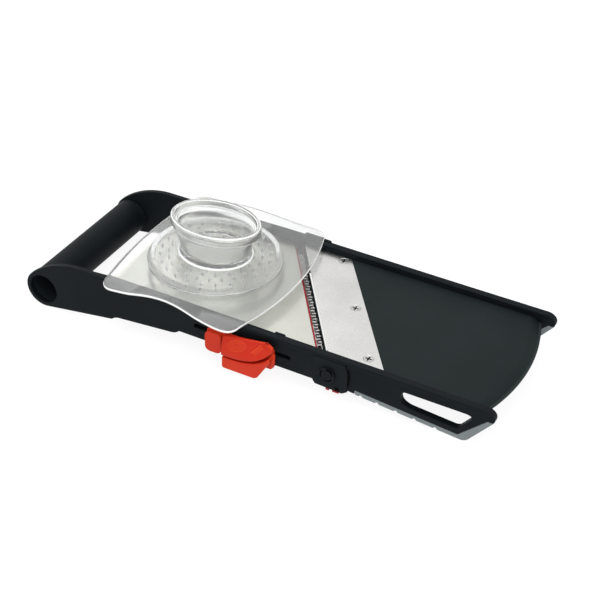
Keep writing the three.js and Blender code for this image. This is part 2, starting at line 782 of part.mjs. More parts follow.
/** Squeeze lever over the grip, with a thumb face that slopes outwards. */
function sliderLever() {
  const shape = new THREE.Shape();
  shape.moveTo(leverStart, leverTop - 2.4);
  slitCurve(shape, 0);
  shape.quadraticCurveTo(leverEnd + 0.3, leverShoulder - 1.6, leverEnd - 0.6, leverShoulder);
  shape.lineTo(leverPeak.x + 0.8, leverPeak.z);
  shape.lineTo(leverPeak.x - 0.8, leverPeak.z - 0.6);
  shape.lineTo(leverStart + 2.4, leverTop);
  shape.quadraticCurveTo(leverStart, leverTop, leverStart, leverTop - 2.4);
  const slope = polygon([ // what the sloping thumb face leaves out, in Y and Z
    [leverFace - margin, thumbSlope.bottomZ], [leverFace - margin, margin],
    [leverBack - thumbSlope.top, margin], [leverBack - thumbSlope.top, thumbSlope.topZ],
    [leverFace, thumbSlope.bottomZ],
  ]);
  const long = 2 * (leverEnd - leverStart);
  const ramp = new THREE.ExtrudeGeometry(slope, { depth: long, bevelEnabled: false });
  ramp.rotateX(Math.PI / 2);
  ramp.rotateZ(Math.PI / 2);
  ramp.translate(leverStart - long / 4, 0, 0);
  return cut(
    wall(shape, leverFace, leverBack, 8),
    solid(ramp),
    bar(leverPivot.x, leverPivot.z, leverPinRadius + gap, leverBack - 2.6, leverBack + margin, 16),
  );
}

function leverPin() {
  return bar(leverPivot.x, leverPivot.z, leverPinRadius, leverBack - 2.2, sliderFace - 2 * gap, 12);
}

// ---------------------------------------------------------------- julienne combs

/** Steel comb: a strip along the gap with every second fin standing across it. */
function julienneComb(side, firstFin) {
  const half = guideInner - gap;
  const stripOuter = gapHalfWidth - gap - carrierBar - 2 * gap;
  const stripInner = stripOuter - combStrip;
  const finReach = stripInner - gap;
  const strip = side < 0 ? gapStrip(-stripOuter, -stripInner, -half, half)
    : gapStrip(stripInner, stripOuter, -half, half);
  const from = side < 0 ? 0.1 - stripOuter : -finReach;
  const to = side < 0 ? finReach : stripOuter - 0.1;
  const finCount = 2 * Math.floor((half - finThickness) / (finPitch * gapCos));
  const fins = [];
  for (let i = firstFin; i < finCount; i += 2) {
    const along = (i - (finCount - 1) / 2) * finPitch;
    const fin = new THREE.BoxGeometry(to - from, finThickness, finDepth);
    fin.translate((from + to) / 2, along, finTop - finDepth / 2);
    fin.rotateZ(gapAngle);
    fin.translate(gapCentre, 0, 0);
    fins.push(solid(fin));
  }
  return join(slab(strip, carrierBottom + 2, finTop - finDepth + 0.8), ...fins);
}

/** Bar that carries one comb, with an arm to the selector and a red foot. The coarse one has a floor. */
function combCarrier(side, arm) {
  const far = guideOuter - gap;
  const near = -guideOuter - gap - armThickness;
  const barOuter = gapHalfWidth - gap;
  const barInner = barOuter - carrierBar;
  const shape = side < 0 ? gapStrip(-barOuter, -barInner, near, far)
    : gapStrip(barInner, barOuter, near, far);
  const fineStripInner = barInner - 2 * gap - combStrip;
  const floor = side < 0 ? [] : [
    slab(gapStrip(runGap - fineStripInner, barInner, near, far), carrierBottom, carrierBottom + carrierShelf),
  ];
  const legX = gapX(side * (barOuter + barInner) / 2, near);
  const legStart = legX - legBefore;
  const armY1 = arm.y0 + armThickness;
  return join(
    slab(shape, carrierBottom, runwayTop - barDrop),
    ...floor,
    box(legStart, legX + legAfter, arm.y0, -guideOuter - gap, armBottom, carrierBottom + legDepth),
    box(legStart, arm.x1, arm.y0, armY1, armBottom, armTop),
    box(arm.x0, arm.x1, footY0, armY1, armBottom, armTop),
    box(arm.x0, arm.x1, footY0, footY0 + footDepth, footBottom, armTop),
  );
}

// ---------------------------------------------------------------- selector

/** Round knob with three curved finger grooves, and its shaft. */
function selectorKnob() {
  const face = -outer - housingProud - runGap;
  const front = face - knobProud;
  const knob = join(
    bar(0, 0, knobRadius, front, face, 36),
    bar(0, 0, knobShaftRadius, face - 0.5, knobShaftEnd - inner, 20),
  );
  const grooves = [0, 1, 2].map((i) => {
    const start = i * Math.PI * 2 / 3 + 0.25;
    const sweep = Math.PI * 2 / 3 - 0.75;
    const shape = new THREE.Shape();
    shape.absarc(0, 0, knobRadius - 1.1, start, start + sweep, false);
    shape.absarc(0, 0, knobRadius - 2, start + sweep, start, true);
    return wall(shape, front - 1, front + knobProud / 2, 8);
  });
  return cut(knob, ...grooves).translate([knobX, 0, -knobDrop]);
}

/** Two-lobed cam on the knob's shaft, inside the housing. */
function selectorCam() {
  const y1 = footY0 + camThickness;
  const lobe = new THREE.Shape();
  lobe.absellipse(0, 0, camHalfWidth, camHalfHeight, 0, Math.PI * 2);
  return cut(
    wall(lobe, footY0, y1, 12).translate([knobX, 0, -knobDrop]),
    bar(knobX, -knobDrop, knobShaftRadius + gap, footY0 - 1, y1 + 1, 20),
  );
}

/** Spring clip that keeps the knob's shaft from pulling out. */
function selectorClip() {
  const y0 = footY0 + camThickness + gap;
  const y1 = y0 + clipThickness;
  const mouth = 1.4; // half width of its open side
  return cut(
    bar(knobX, -knobDrop, knobShaftRadius + 1.6, y0, y1, 20),
    bar(knobX, -knobDrop, knobShaftRadius + gap, y0 - 1, y1 + 1, 20),
    box(knobX - mouth, knobX + mouth, y0 - 1, y1 + 1, -knobDrop, -knobDrop + 2 * knobShaftRadius),
  );
}

/** Leaf spring beside the cam that holds the knob in its places. */
function detentSpring() {
  const x = housingStart + housingSide + 0.5;
  const reach = 6.5;
  const bend = 2.5;
  const side = [
    [x, -reach], [x, -bend], [x + springKnee, 0], [x, bend], [x, reach],
  ];
  const shape = polygon([
    ...side, ...side.map(([a, z]) => [a + springLeaf, z]).reverse(),
  ].map(([a, z]) => [a, z - knobDrop]));
  return wall(shape, footY0, footY0 + camThickness);
}

// ---------------------------------------------------------------- hand guard

/** Clear plate that slides on the rails: bowed ends, waisted sides and a round opening. */
function guardPlate() {
  const c = guardCornerHalf;
  const w = guardWaistHalf;
  const shape = new THREE.Shape();
  shape.moveTo(guardFront + 6.5, -c + 7.5);
  shape.quadraticCurveTo(guardFront + 8.5, -c + 2.2, guardFront + 15, -c + 2);
  shape.bezierCurveTo(guardFront + 34, -c + 2.4, guardX - 20, -w, guardX - 3, -w);
  shape.bezierCurveTo(guardX + 14, -w, guardBack - 40, -c, guardBack - 24, -c);
  shape.quadraticCurveTo(guardBack - 13.5, -c, guardBack - 11.5, -c + 8);
  shape.quadraticCurveTo(guardBack + 11.5, 0, guardBack - 11.5, c - 8);
  shape.quadraticCurveTo(guardBack - 13.5, c, guardBack - 24, c);
  shape.bezierCurveTo(guardBack - 40, c, guardX + 14, w, guardX - 3, w);
  shape.bezierCurveTo(guardX - 20, w, guardFront + 34, c - 2.4, guardFront + 15, c - 2);
  shape.quadraticCurveTo(guardFront + 8.5, c - 2.2, guardFront + 6.5, c - 7.5);
  shape.quadraticCurveTo(guardFront - 6.5, 0, guardFront + 6.5, -c + 7.5);
  const opening = discRadius - discSeat - 2 * gap;
  return cut(
    slab(shape, gap, gap + guardSheet, 10),
    post(guardX, 0, opening, opening, -margin, margin, 64),
  );
}

/** Raised round disc whose underside holds the food on rings of short spikes. */
function guardSpikeDisc() {
  const base = 2 * gap + guardSheet;
  const roof = discHeight - discWall;
  const round = 0.8;
  const profile = [
    [0, roof], [discTopRadius - discSeat, roof], [discRadius - discSeat, base], [discRadius, base],
    [discTopRadius, discHeight - round], [discTopRadius - round, discHeight], [0, discHeight],
  ].map(([r, z]) => new THREE.Vector2(r, z));
  const lathe = new THREE.LatheGeometry(profile, 64);
  lathe.rotateX(Math.PI / 2);
  lathe.translate(guardX, 0, 0);
  const spikes = spikeRings.flatMap(({ radius, count, turn }) => Array.from({ length: count }, (_, i) => {
    const angle = (i + turn) * Math.PI * 2 / count;
    const x = guardX + radius * Math.cos(angle);
    const y = radius * Math.sin(angle);
    return post(x, y, spikeRadius / 5, spikeRadius, roof - spikeLength, roof + 0.2, 5);
  }));
  return join(solid(lathe), ...spikes);
}

/** Open oval cup that the hand holds: foot flange, wall and a deep rim. */
function guardCup() {
  const bottom = discHeight + gap;
  const mouthLength = cupHalfLength - cupWall;
  const mouthWidth = cupHalfWidth - cupWall;
  const flange = ellipse(guardX, cupHalfLength + cupFlange, cupHalfWidth + cupFlange);
  return cut(
    join(
      slab(flange, bottom, bottom + cupFlange, 28),
      slab(ellipse(guardX, cupHalfLength, cupHalfWidth), bottom, cupTop, 28),
      slab(ellipse(guardX, cupRimHalfLength, cupRimHalfWidth), cupTop - cupRimHeight, cupTop, 28),
    ),
    slab(ellipse(guardX, mouthLength, mouthWidth), bottom + cupWall, cupTop + 1, 28),
  );
}

// ---------------------------------------------------------------- assembly

addPiece('near_side_rail', nearSideRail(), black);
addPiece('far_side_rail', farSideRail(), black);
addPiece('handle_tube', handleTube(), black);
addPiece('front_cross_beam', frontCrossBeam(), black);
addPiece('output_tray', outputTray(), trayBlack);
addPiece('blade_bed', bladeBed(), black);
addPiece('blade_plate', bladePlate(), steel);
['far', 'middle', 'near'].forEach((place, i) => {
  addPiece(`blade_screw_${place}`, bladeScrew(screwPlaces[i]), steel);
});
addPiece('near_foot_strip', footStrip(-1), rubber);
addPiece('far_foot_strip', footStrip(1), rubber);

addPiece('runway_plate', runwayPlate(), steel);
addPiece('runway_carrier', runwayCarrier(), black);
addPiece('lift_rod_front', liftRod(rodPlaces[0]), steel);
addPiece('lift_rod_rear', liftRod(rodPlaces[1]), steel);

addPiece('slider_body', sliderBody(), red);
addPiece('near_cam_bar', camBar(-1, stemEnd + 2), black);
addPiece('far_cam_bar', camBar(1, rodPlaces[1] + slideBack + rodRadius + runGap + 3), black);
addPiece('cam_cross_link', camCrossLink(), black);
addPiece('slider_lever', sliderLever(), red);
addPiece('lever_pin', leverPin(), steel);

addPiece('fine_comb', julienneComb(-1, 0), steel);
addPiece('coarse_comb', julienneComb(1, 1), steel);
const fineArm = {
  x0: knobX - fineFootBefore, x1: knobX - fineFootBefore + fineFootLength,
  y0: armInset - inner,
};
const coarseArm = {
  x0: fineArm.x1 + footSpacing, x1: fineArm.x1 + footSpacing + coarseFootLength,
  y0: fineArm.y0 + armThickness + armGap,
};
addPiece('fine_comb_carrier', combCarrier(-1, fineArm), darkRed);
addPiece('coarse_comb_carrier', combCarrier(1, coarseArm), darkRed);
addPiece('selector_knob', selectorKnob(), black);
addPiece('selector_cam', selectorCam(), trayBlack);
addPiece('selector_clip', selectorClip(), steel);
addPiece('detent_spring', detentSpring(), steel);

addPiece('guard_plate', guardPlate(), clear);
addPiece('guard_spike_disc', guardSpikeDisc(), clear);
addPiece('guard_cup', guardCup(), clear);

// The brackets' round noses and the feet's front corners touch the ground. The tilt is the
// angle between the rails and the line that does both.
const noseToFoot = Math.hypot(footCorner, footCornerDepth - handleDrop);
const restTilt = Math.asin(noseRadius / noseToFoot)
  - Math.atan2(footCornerDepth - handleDrop, footCorner);

const slicer = new THREE.Group();
slicer.add(...pieces);
slicer.rotation.y = restTilt;
slicer.updateMatrixWorld(true);
const extent = new THREE.Box3().setFromObject(slicer, true);
slicer.position.set(-(extent.min.x + extent.max.x) / 2, 0, -extent.min.z);

const group = new THREE.Group();
group.add(slicer);

export default group;
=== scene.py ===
"""Adjustable mandoline slicer with its clear hand guard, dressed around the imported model.

Shapes are drawn in the slicer's own rail frame, in millimetres: X runs along the rails from the
handle's axis to the output end, Y runs across, and Z = 0 is the top of the side rails. The frame
gives where that stands in the row frame, and every driving size is measured from its nodes.
"""
import json
import math

import bmesh
import bpy
from mathutils import Matrix, Vector


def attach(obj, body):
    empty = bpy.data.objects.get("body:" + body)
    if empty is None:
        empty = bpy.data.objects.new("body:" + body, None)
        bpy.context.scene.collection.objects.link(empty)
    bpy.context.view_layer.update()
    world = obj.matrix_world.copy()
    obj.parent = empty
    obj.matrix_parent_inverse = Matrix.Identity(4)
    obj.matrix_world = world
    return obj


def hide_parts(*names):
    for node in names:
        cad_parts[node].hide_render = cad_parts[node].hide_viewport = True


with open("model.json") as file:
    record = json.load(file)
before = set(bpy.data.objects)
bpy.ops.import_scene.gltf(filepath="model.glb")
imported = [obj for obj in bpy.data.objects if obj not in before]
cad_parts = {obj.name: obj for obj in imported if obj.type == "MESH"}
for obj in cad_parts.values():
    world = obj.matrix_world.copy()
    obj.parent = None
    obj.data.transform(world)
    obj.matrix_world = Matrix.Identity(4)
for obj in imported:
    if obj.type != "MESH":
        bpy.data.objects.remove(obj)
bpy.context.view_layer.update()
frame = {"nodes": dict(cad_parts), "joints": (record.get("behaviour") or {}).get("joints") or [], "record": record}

MM = 0.001
JOINTS = {joint["name"]: joint for joint in frame["joints"]}

# ------------------------------------------------------------------ the rail frame


def span_along(node, axis):
    """Lowest and highest reach of a node along a direction."""
    reach = [v.co.dot(axis) for v in frame["nodes"][node].data.vertices]
    return min(reach), max(reach)


RAIL_X = Vector(JOINTS["thickness_slide"]["axis"]).normalized()
RAIL_Z = Vector(JOINTS["runway_lift"]["axis"]).normalized()
RAIL_Y = RAIL_Z.cross(RAIL_X)
HANDLE_AXIS = sum(span_along("handle_tube", RAIL_X)) / 2
ORIGIN = RAIL_X * HANDLE_AXIS + RAIL_Z * span_along("near_side_rail", RAIL_Z)[1]
FROM_RAIL = Matrix.Translation(ORIGIN) @ Matrix(
    [[RAIL_X[i], RAIL_Y[i], RAIL_Z[i], 0] for i in range(3)] + [[0, 0, 0, 1]]
) @ Matrix.Scale(MM, 4)
TO_RAIL = FROM_RAIL.inverted()


def rail_box(node):
    """Lowest and highest corner of a CAD node in the rail frame, in millimetres."""
    points = [TO_RAIL @ v.co for v in frame["nodes"][node].data.vertices]
    low = Vector([min(p[i] for p in points) for i in range(3)])
    high = Vector([max(p[i] for p in points) for i in range(3)])
    return low, high


def furthest_x(node, side):
    """How far along the rails a node reaches on its far side (1) or its near side (-1)."""
    points = [TO_RAIL @ v.co for v in frame["nodes"][node].data.vertices]
    edge = max(side * p.y for p in points) - 0.5
    return max(p.x for p in points if side * p.y > edge)


BODY_OF = {node: body for body, nodes in frame["record"]["behaviour"]["bodies"].items() for node in nodes}

# ------------------------------------------------------------------ driving sizes, from the nodes

rail_low, rail_high = rail_box("far_foot_strip")
INNER = rail_low.y
OUTER = rail_high.y
GUARD_X = sum(corner.x for corner in rail_box("guard_spike_disc")) / 2
DISC_RADIUS = rail_box("guard_spike_disc")[1].y
DISC_TOP = rail_box("guard_spike_disc")[1].z
GUARD_FRONT = rail_box("guard_plate")[0].x
GUARD_BACK = rail_box("guard_plate")[1].x
GUARD_HALF = rail_box("guard_plate")[1].y
GUARD_SOLE = rail_box("guard_plate")[0].z
CUP_HALF_LENGTH = rail_box("guard_cup")[1].x - GUARD_X
CUP_HALF_WIDTH = rail_box("guard_cup")[1].y
CUP_TOP = rail_box("guard_cup")[1].z

# ------------------------------------------------------------------ node materials


def material(name):
    """A new material with its node tree, its Principled shader and a coordinate source."""
    made = bpy.data.materials.new(name)
    made.use_nodes = True
    nodes = made.node_tree.nodes
    shader = nodes["Principled BSDF"]
    place = nodes.new("ShaderNodeTexCoord")
    return made, made.node_tree, shader, place.outputs["Object"]


def noise(tree, place, scale, detail=3.0, stretch=None):
    """Noise over the object's own coordinates, stretched along an axis if asked."""
    if stretch:
        mapping = tree.nodes.new("ShaderNodeMapping")
        mapping.inputs["Scale"].default_value = stretch
        tree.links.new(place, mapping.inputs["Vector"])
        place = mapping.outputs["Vector"]
    texture = tree.nodes.new("ShaderNodeTexNoise")
    texture.inputs["Scale"].default_value = scale
    texture.inputs["Detail"].default_value = detail
    tree.links.new(place, texture.inputs["Vector"])
    return texture.outputs["Fac"]


def spread(tree, source, low, high):
    """A noise value mapped to a range."""
    node = tree.nodes.new("ShaderNodeMapRange")
    node.inputs["From Min"].default_value = 0.3
    node.inputs["From Max"].default_value = 0.7
    node.inputs["To Min"].default_value = low
    node.inputs["To Max"].default_value = high
    tree.links.new(source, node.inputs["Value"])
    return node.outputs["Result"]


def tint(tree, source, dark, light):
    """A colour between two near shades."""
    ramp = tree.nodes.new("ShaderNodeValToRGB")
    ramp.color_ramp.elements[0].position = 0.3
    ramp.color_ramp.elements[0].color = (*dark, 1)
    ramp.color_ramp.elements[1].position = 0.7
    ramp.color_ramp.elements[1].color = (*light, 1)
    tree.links.new(source, ramp.inputs["Fac"])
    return ramp.outputs["Color"]


def bump(tree, source, shader, height, strength=1.0):
    """Fine relief, its height in metres."""
    node = tree.nodes.new("ShaderNodeBump")
    node.inputs["Strength"].default_value = strength
    node.inputs["Distance"].default_value = height
    tree.links.new(source, node.inputs["Height"])
    tree.links.new(node.outputs["Normal"], shader.inputs["Normal"])


def paint_edge_highlight(tree, colour, light):
    """Painted highlight: edges, picked by pointiness, coloured a little paler than the flats."""
    geometry = tree.nodes.new("ShaderNodeNewGeometry")
    edge = tree.nodes.new("ShaderNodeValToRGB")
    edge.color_ramp.elements[0].position = 0.52
    edge.color_ramp.elements[0].color = (0, 0, 0, 1)
    edge.color_ramp.elements[1].position = 0.62
    edge.color_ramp.elements[1].color = (1, 1, 1, 1)
    tree.links.new(geometry.outputs["Pointiness"], edge.inputs["Fac"])
    mix = tree.nodes.new("ShaderNodeMix")
    mix.data_type = "RGBA"
    tree.links.new(edge.outputs["Color"], mix.inputs["Factor"])
    tree.links.new(colour, mix.inputs["A"])
    mix.inputs["B"].default_value = (*light, 1)
    return mix.outputs["Result"]


def moulded(name, dark, light, edge, roughness, grain, gloss):
    """Moulded plastic: fine spark-eroded grain, slow colour drift and a painted highlight on its edges."""
    made, tree, shader, place = material(name)
    drift = noise(tree, place, 24.0, 2.0)
    colour = paint_edge_highlight(tree, tint(tree, drift, dark, light), edge)
    tree.links.new(colour, shader.inputs["Base Color"])
    fine = noise(tree, place, 1500.0, 2.0)
    tree.links.new(spread(tree, fine, *roughness), shader.inputs["Roughness"])
    bump(tree, fine, shader, grain)
    shader.inputs["Specular IOR Level"].default_value = gloss
    return made


def brushed(name, dark, light, roughness, stretch):
    """Rolled stainless sheet with fine brushing along one direction."""
    made, tree, shader, place = material(name)
    lines = noise(tree, place, 60.0, 4.0, stretch)
    cloud = noise(tree, place, 30.0, 3.0)
    tree.links.new(tint(tree, cloud, dark, light), shader.inputs["Base Color"])
    tree.links.new(spread(tree, lines, *roughness), shader.inputs["Roughness"])
    bump(tree, lines, shader, 0.00002, 0.6)
    shader.inputs["Metallic"].default_value = 1.0
    return made


def clear_plastic(name, roughness, haze, dark=(0.955, 0.965, 0.96), light=(0.985, 0.99, 0.985)):
    """Clear styrene: a little surface haze and faint flow marks from the mould."""
    made, tree, shader, place = material(name)
    cloud = noise(tree, place, 40.0, 3.0)
    tree.links.new(tint(tree, cloud, dark, light), shader.inputs["Base Color"])
    tree.links.new(spread(tree, cloud, *roughness), shader.inputs["Roughness"])
    bump(tree, noise(tree, place, 60.0, 2.0), shader, 0.00003, 0.3)
    shader.inputs["Transmission Weight"].default_value = 1.0 - haze
    shader.inputs["IOR"].default_value = 1.46
    return made


# Each moulded look's third colour is its painted edge highlight.
LOOKS = {
    "frame_black": moulded(
        "frame black", (0.0034, 0.0054, 0.0066), (0.0050, 0.0074, 0.0088), (0.013, 0.017, 0.019),
        (0.5, 0.62), 0.00003, 0.08),
    "tray_black": moulded(
        "tray black", (0.0080, 0.0125, 0.0128), (0.0104, 0.0155, 0.0158), (0.018, 0.024, 0.024),
        (0.55, 0.68), 0.00004, 0.1),
    "mechanism_black": moulded(
        "mechanism black", (0.0030, 0.0046, 0.0056), (0.0046, 0.0064, 0.0076), (0.011, 0.014, 0.016),
        (0.45, 0.6), 0.00003, 0.08),
    "red_plastic": moulded(
        "red plastic", (0.45, 0.0150, 0.0030), (0.52, 0.0195, 0.0042), (0.78, 0.085, 0.026),
        (0.36, 0.48), 0.00002, 0.16),
    "carrier_red": moulded(
        "carrier red", (0.24, 0.004, 0.006), (0.30, 0.006, 0.009), (0.38, 0.014, 0.016),
        (0.35, 0.5), 0.00002, 0.2),
    "foot_rubber": moulded(
        "foot rubber", (0.15, 0.17, 0.175), (0.19, 0.212, 0.218), (0.23, 0.25, 0.26),
        (0.7, 0.85), 0.00008, 0.15),
    "blade_steel": brushed(
        "blade steel", (0.62, 0.615, 0.60), (0.70, 0.695, 0.68), (0.24, 0.36), (4.0, 90.0, 90.0)),
    "runway_steel": brushed(
        "runway steel", (0.53, 0.53, 0.48), (0.59, 0.59, 0.54), (0.28, 0.42), (3.0, 70.0, 70.0)),
    "fastener_steel": brushed(
        "fastener steel", (0.52, 0.52, 0.51), (0.62, 0.62, 0.61), (0.2, 0.34), (60.0, 60.0, 60.0)),
    "clear_plastic": clear_plastic(
        "clear plastic sheet", (0.05, 0.11), 0.08, (0.90, 0.91, 0.905), (0.925, 0.935, 0.925)),
}
DOME_LOOK = clear_plastic("clear plastic dome", (0.12, 0.2), 0.07)
# Hazy white clear plastic laid on rims and ring faces as a painted highlight.
PAINTED_EDGE_HIGHLIGHT = clear_plastic("clear plastic painted edge highlight", (0.3, 0.4), 0.8)
# The spikes' sides take a hazy white material as painted highlight, and their end caps a dark grey one as painted
# shade.
SPIKE_PAINTED_HIGHLIGHT = clear_plastic("clear plastic spikes painted highlight", (0.3, 0.4), 0.9)
SPIKE_PAINTED_SHADE = clear_plastic(
    "clear plastic spike roots painted shade", (0.2, 0.3), 0.5, (0.10, 0.10, 0.10), (0.16, 0.16, 0.16))
# Near-black material laid in grooves and recesses as painted shade.
PAINTED_SHADE = moulded(
    "painted recess shade", (0.0012, 0.0014, 0.0016), (0.0022, 0.0024, 0.0026), (0.003, 0.003, 0.003),
    (0.7, 0.85), 0.00002, 0.03)

# ------------------------------------------------------------------ mesh helpers

SMOOTH_BELOW = math.radians(32)
GROUND_BELOW = 0.0  # on ground steel, whose edges stay crisp
WELD = 0.002  # points closer than this, in millimetres, are one point
FLAT_WITHIN = math.radians(0.4)  # faces that turn less than this are one flat


def finish_piece(
        name, shape, slot, body, *nodes,
        bevel=0.0, segments=3, sharp=SMOOTH_BELOW, second=None, look=None):
    """Turns a mesh drawn in the rail frame into a piece that rides on a CAD body."""
    mesh = bpy.data.meshes.new(name)
    bmesh.ops.recalc_face_normals(shape, faces=shape.faces)
    shape.to_mesh(mesh)
    shape.free()
    mesh.transform(FROM_RAIL)
    mesh.polygons.foreach_set("use_smooth", [True] * len(mesh.polygons))
    mesh.set_sharp_from_angle(angle=sharp)
    mesh.materials.append(look or LOOKS[slot])
    if second:
        mesh.materials.append(second)
    piece = bpy.data.objects.new(name, mesh)
    bpy.context.scene.collection.objects.link(piece)
    if bevel:
        soften = piece.modifiers.new("moulded edges", "BEVEL")
        soften.width = bevel * MM
        soften.segments = segments
        soften.limit_method = "ANGLE"
        soften.angle_limit = sharp
        soften.harden_normals = True
        soften.use_clamp_overlap = False
    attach(piece, body)
    if nodes:
        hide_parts(*nodes)
    return piece


def from_node(node, whole_flats=True):
    """A CAD node's solid in the rail frame, welded and with its flats made whole."""
    shape = bmesh.new()
    shape.from_mesh(frame["nodes"][node].data)
    bmesh.ops.transform(shape, matrix=TO_RAIL, verts=shape.verts)
    bmesh.ops.remove_doubles(shape, verts=shape.verts, dist=WELD)
    if whole_flats:
        bmesh.ops.dissolve_limit(shape, angle_limit=FLAT_WITHIN, verts=shape.verts, edges=shape.edges)
    return shape


def dressed_node(node, slot, bevel=0.3, segments=2):
    """The CAD solid itself, with moulded or ground edges."""
    shape = from_node(node, whole_flats=bevel > 0)
    sharp = SMOOTH_BELOW if bevel > 0 else GROUND_BELOW
    return finish_piece(
        f"{node}_finished", shape, slot, BODY_OF[node], node, bevel=bevel, segments=segments, sharp=sharp)


def add_rings(shape, rings, closed_ends=True, closed_loop=False, second=None):
    """Skins a list of equal rings of points, each a closed loop.

    second(ring, place) says which faces take the piece's second material.
    """
    loops = [[shape.verts.new(point) for point in ring] for ring in rings]
    pairs = list(zip(loops, loops[1:]))
    if closed_loop:
        pairs.append((loops[-1], loops[0]))
    for ring, (first, following) in enumerate(pairs):
        count = len(first)
        for i in range(count):
            j = (i + 1) % count
            face = shape.faces.new((first[i], first[j], following[j], following[i]))
            if second and second(ring, i):
                face.material_index = 1
    if closed_ends and not closed_loop:
        shape.faces.new(list(reversed(loops[0])))
        shape.faces.new(loops[-1])
    return loops


def add_prism(shape, outline, low, high, plane="xz"):
    """Extrudes an outline drawn in X and Z along Y, or one drawn in X and Y along Z."""
    def at(a, b, depth):
        return (a, depth, b) if plane == "xz" else (a, b, depth)
    add_rings(shape, [[at(a, b, depth) for a, b in outline] for depth in (low, high)])


def rounded_rectangle(x0, x1, z0, z1, radius):
    """Outline of a rectangle with round corners."""
    outline = []
    for x, z, start in [(x1 - radius, z1 - radius, 0), (x0 + radius, z1 - radius, 90),
                        (x0 + radius, z0 + radius, 180), (x1 - radius, z0 + radius, 270)]:
        for step in range(7):
            a = math.radians(start + 15 * step)
            outline.append((x + radius * math.cos(a), z + radius * math.sin(a)))
    return outline


def add_block(shape, low, high):
    """Box between two corners."""
    (x0, y0, z0), (x1, y1, z1) = low, high
    add_prism(shape, [(x0, z0), (x1, z0), (x1, z1), (x0, z1)], y0, y1)


def add_tube(shape, path, radius, sides=8, closed=False):
    """Round bead along a path of points."""
    points = [Vector(p) for p in path]
    count = len(points)
    rings = []
    for i, point in enumerate(points):
        ahead = points[(i + 1) % count] if closed or i < count - 1 else point
        behind = points[i - 1] if closed or i > 0 else point
        along = (ahead - behind).normalized()
        side = along.orthogonal() if abs(along.y) > 0.9 else along.cross(Vector((0, 1, 0)))
        side.normalize()
        up = along.cross(side)
        turn = [2 * math.pi * k / sides for k in range(sides)]
        rings.append([point + radius * (math.cos(a) * side + math.sin(a) * up) for a in turn])
    add_rings(shape, rings, closed_ends=not closed, closed_loop=closed)


def bezier(points, steps):
    """Points on a quadratic or cubic curve, without its last point."""
    order = len(points) - 1
    made = []
    for i in range(steps):
        t = i / steps
        weights = [math.comb(order, k) * t ** k * (1 - t) ** (order - k) for k in range(order + 1)]
        made.append(tuple(sum(w * p[axis] for w, p in zip(weights, points)) for axis in (0, 1)))
    return made


def blend_in(low, high, value):
    """Smooth step from 0 to 1."""
    t = min(1.0, max(0.0, (value - low) / (high - low)))
    return t * t * (3 - 2 * t)


# ------------------------------------------------------------------ rails and feet


def side_rail(side):
    """A rail with its moulded edges and the shallow step along its outer face."""
    node = "near_side_rail" if side < 0 else "far_side_rail"
    shape = from_node(node)
    face = side * OUTER
    proud = side * (OUTER + 0.28)
    band = [(70, -3.6), (296, -3.6), (350, -3.6), (356, -2.6), (352, -1.0), (60, -1.0)]
    add_prism(shape, band, min(face - side, proud), max(face - side, proud))
    if side < 0:
        add_block(shape, (197.5, -INNER - 0.6, -3.2), (205.5, -INNER + 1.1, 0.55))
    return finish_piece(f"{node}_finished", shape, "frame_black", "frame", node, bevel=0.55)


def foot(side):
    """Rubber sole with small notches along its lower edge, turned up the slanted end."""
    node = "near_foot_strip" if side < 0 else "far_foot_strip"
    low, high = rail_box(node)
    thick = 3.6
    sole_drop = 6.47
    sole_length = 80.1
    start_z = low.z + sole_drop
    corner_x = low.x + sole_length
    slope = (low.z - start_z) / (corner_x - low.x)
    outline = [(low.x, start_z + thick), (low.x, start_z + 0.5), (low.x + 0.8, start_z)]
    for x in (4.9, 17.3, 31.7, 45.6, 61.3):
        z = start_z + slope * x
        outline += [
            (low.x + x - 1.5, z + 0.12), (low.x + x - 0.5, z + 1.25), (low.x + x + 0.5, z + 1.2),
            (low.x + x + 1.7, z - 0.1),
        ]
    outline += bezier([(corner_x, low.z), (corner_x + 4, low.z + 0.2), (corner_x + 6.4, low.z + 4)], 6)
    outline += [(corner_x + 6.4, low.z + 4), (high.x, high.z), (high.x - thick * 1.1 - 0.3, high.z)]
    outline += [(corner_x - thick * 0.6 - 0.3, low.z + thick)]
    shape = bmesh.new()
    add_prism(shape, outline, low.y, high.y)
    return finish_piece(f"{node}_finished", shape, "foot_rubber", "frame", node, bevel=0.35)


def handle():
    """Handle tube with a fine moulded skin and rounded ends."""
    low, high = rail_box("handle_tube")
    radius = (high.x - low.x) / 2
    drop = (high.z + low.z) / 2
    wall = 2.1
    round_over = 0.6
    bore = radius - wall
    profile = [(bore, low.y), (radius - round_over, low.y), (radius, low.y + round_over)]
    profile += [(radius, low.y + (high.y - low.y) * i / 12) for i in range(1, 12)]
    profile += [(radius, high.y - round_over), (radius - round_over, high.y), (bore, high.y)]
    turn = [2 * math.pi * i / 96 for i in range(96)]
    rings = [[(r * math.cos(a), y, drop + r * math.sin(a)) for a in turn] for r, y in profile]
    shape = bmesh.new()
    add_rings(shape, rings, closed_loop=True)
    return finish_piece("handle_tube_finished", shape, "frame_black", "frame", "handle_tube")


# ------------------------------------------------------------------ guard


